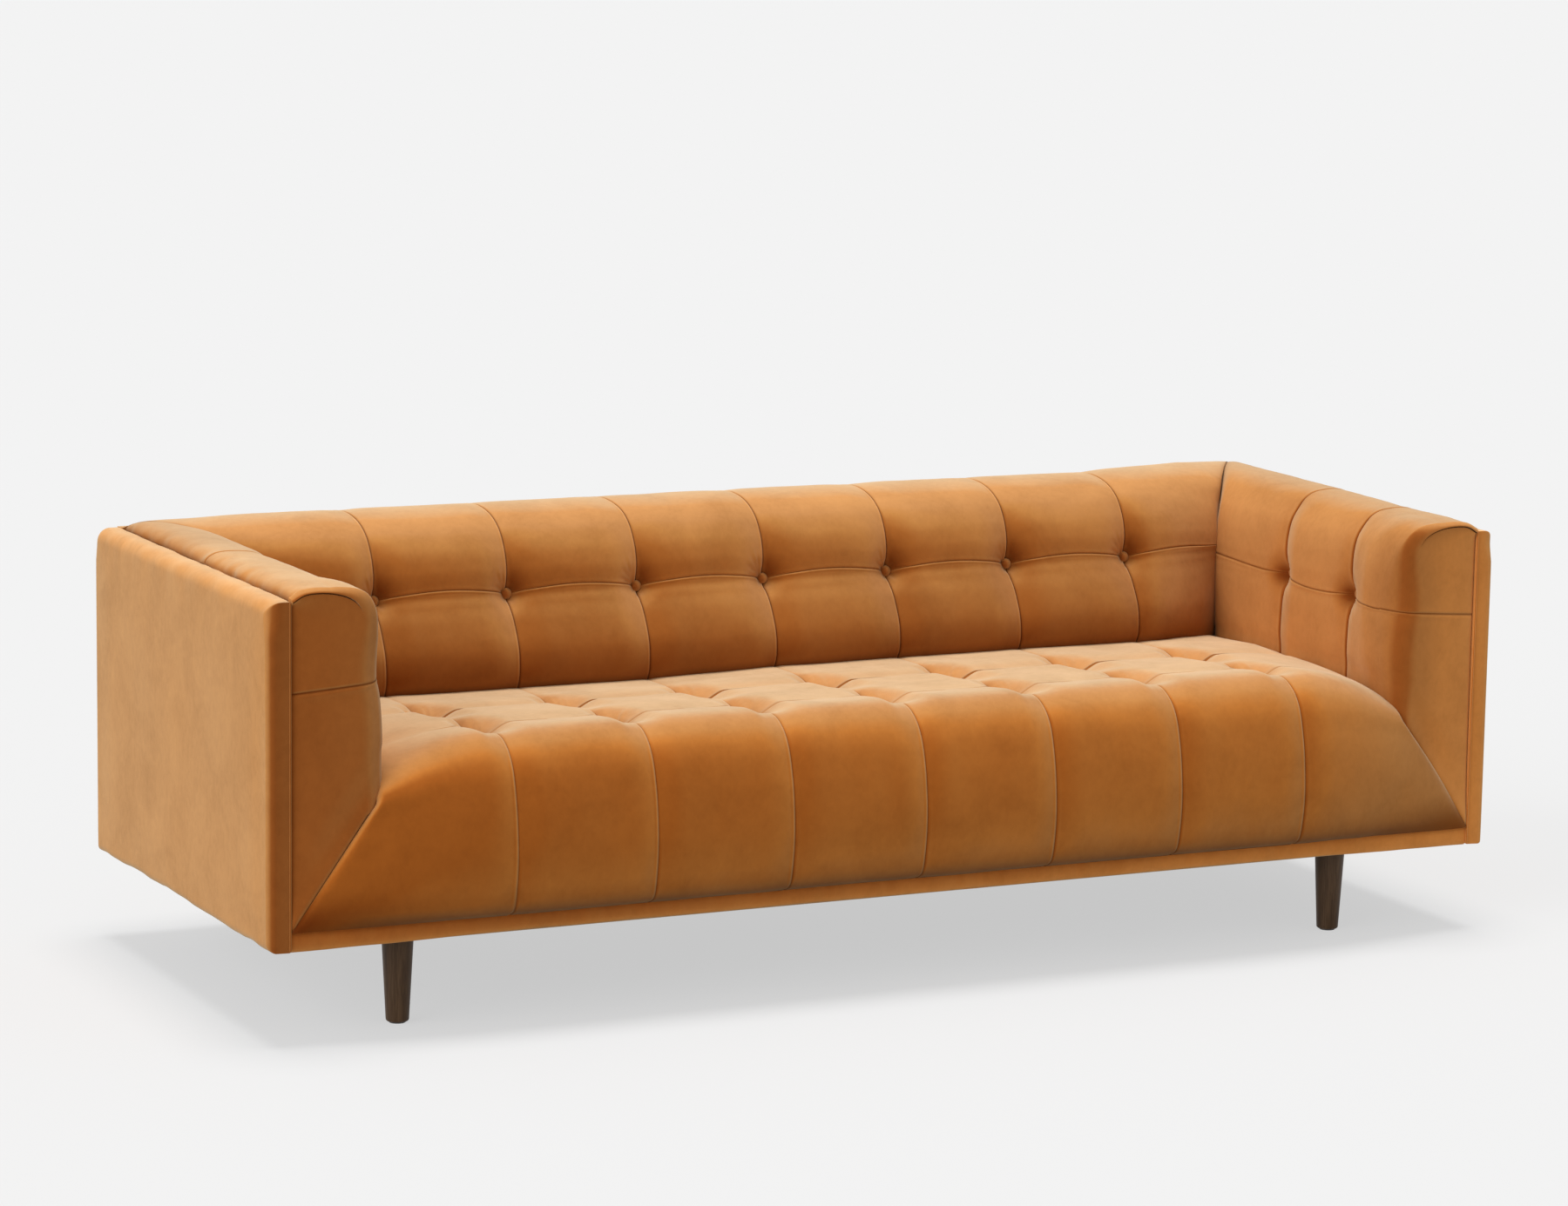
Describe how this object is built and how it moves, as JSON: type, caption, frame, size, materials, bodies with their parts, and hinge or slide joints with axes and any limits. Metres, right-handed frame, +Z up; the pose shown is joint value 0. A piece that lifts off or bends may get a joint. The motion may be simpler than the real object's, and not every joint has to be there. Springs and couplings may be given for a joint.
{
  "type": "tuxedo sofa",
  "caption": "Tuxedo sofa with a tufted bench seat, tufted back and arms of equal height, flat outer panels and tapered round wooden legs.",
  "frame": {"origin": "on the floor, midway along the width and the depth of the sofa's bounding box", "axes": "+X towards the sitter's left along the width, seen from the front it points right; +Y from the front to the back; +Z up. The front faces -Y."},
  "size_m": [2.2, 0.9057, 0.7315],
  "materials": {
    "velvet": "short-pile caramel velvet, matt with a soft sheen",
    "button_velvet": "covered buttons in the same velvet",
    "foam": "upholstery foam",
    "plywood": "raw plywood",
    "frame_wood": "raw planed hardwood",
    "webbing": "elastic upholstery webbing",
    "dust_cloth": "black non-woven cloth",
    "leg_wood": "dark stained wood, satin, grain along the leg",
    "steel": "zinc-plated steel",
    "glide": "hard plastic"
  },
  "bodies": {
    "root": {"seat_cover": "velvet", "back_cover": "velvet", "arm_cover_left": "velvet", "arm_cover_right": "velvet", "seat_foam": "foam", "back_foam": "foam", "arm_foam_left": "foam", "arm_foam_right": "foam", "seat_buttons": "button_velvet", "back_buttons": "button_velvet", "arm_buttons": "button_velvet", "side_cover_left": "velvet", "side_cover_right": "velvet", "side_board_left": "plywood", "side_board_right": "plywood", "rear_cover": "velvet", "rear_board": "plywood", "front_band": "velvet", "dust_cover": "dust_cloth", "front_rail": "frame_wood", "rear_rail": "frame_wood", "end_rail_left": "frame_wood", "end_rail_right": "frame_wood", "seat_stretchers": "frame_wood", "front_posts": "frame_wood", "rear_posts": "frame_wood", "arm_top_rail_left": "frame_wood", "arm_top_rail_right": "frame_wood", "arm_tack_rails": "frame_wood", "back_ribs": "plywood", "back_top_rail": "frame_wood", "back_tack_rail": "frame_wood", "corner_blocks": "plywood", "leg_blocks": "plywood", "seat_webbing": "webbing", "back_webbing": "webbing", "arm_webbing": "webbing", "leg_front_left": "leg_wood", "leg_front_right": "leg_wood", "leg_rear_left": "leg_wood", "leg_rear_right": "leg_wood", "leg_bolts": "steel", "tee_nuts": "steel", "glides": "glide", "frame_bolts": "steel"}
  },
  "joints": []
}
